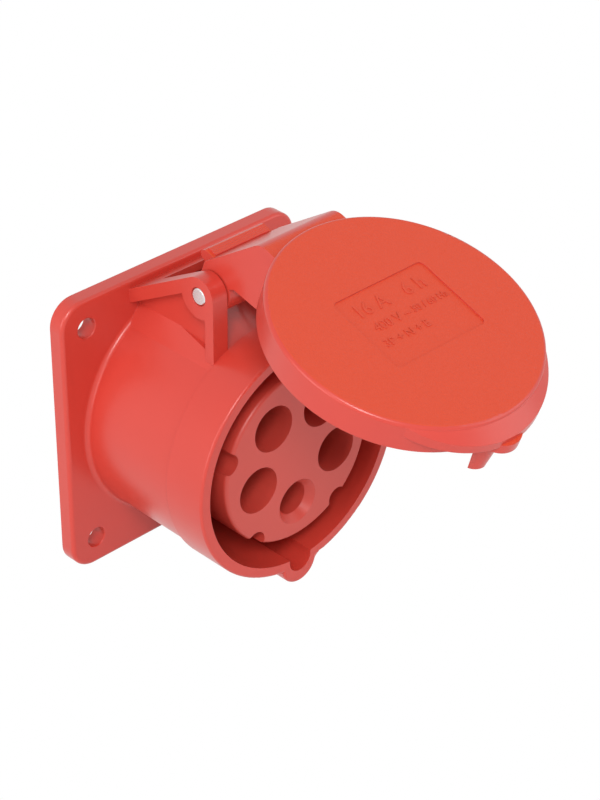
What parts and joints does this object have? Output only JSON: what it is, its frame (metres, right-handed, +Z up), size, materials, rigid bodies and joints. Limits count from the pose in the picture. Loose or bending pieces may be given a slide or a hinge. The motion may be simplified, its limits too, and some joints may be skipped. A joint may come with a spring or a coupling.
{
  "type": "industrial panel socket",
  "caption": "Panel-mounted industrial power socket with a round keyed barrel, recessed contact insert and a hinged sealing lid standing open.",
  "frame": {"origin": "centre of the flange's back face, on the socket's axis", "axes": "-Y out of the socket towards the plug, +Z up towards the lid's hinge, +X to the right seen from the front"},
  "size_m": [0.075, 0.123, 0.1001],
  "materials": {
    "red_moulding": "fine-grained, slightly glossy glass-filled polyamide in signal red",
    "red_insert": "smooth moulded polyamide in signal red",
    "carrier_plastic": "fine-grained moulded polyamide, dark grey",
    "seal_rubber": "moulded soft rubber",
    "bright_steel": "bright ground steel",
    "spring_steel": "drawn stainless spring wire",
    "zinc_steel": "zinc-plated steel",
    "contact_brass": "turned brass"
  },
  "bodies": {
    "socket": {"housing": "red_moulding", "hinge_pin": "bright_steel", "lid_spring": "spring_steel", "contact_insert": "red_insert", "terminal_carrier": "carrier_plastic", "sleeve_earth": "contact_brass", "sleeve_n": "contact_brass", "sleeve_l1": "contact_brass", "sleeve_l2": "contact_brass", "sleeve_l3": "contact_brass", "clip_earth": "spring_steel", "clip_n": "spring_steel", "clip_l1": "spring_steel", "clip_l2": "spring_steel", "clip_l3": "spring_steel", "clamp_earth": "zinc_steel", "clamp_n": "zinc_steel", "clamp_l1": "zinc_steel", "clamp_l2": "zinc_steel", "clamp_l3": "zinc_steel", "terminal_screws": "zinc_steel", "carrier_screws": "zinc_steel", "flange_seal": "seal_rubber"},
    "lid": {"lid": "red_moulding", "lid_seal": "seal_rubber"}
  },
  "joints": [
    {"name": "lid_hinge", "type": "hinge", "parent": "socket", "child": "lid", "pos_m": [0, -0.0286, 0.0434], "axis": [-1, 0, 0], "range_deg": [-70.4, 44.6], "deforming": ["lid_spring"]}
  ]
}
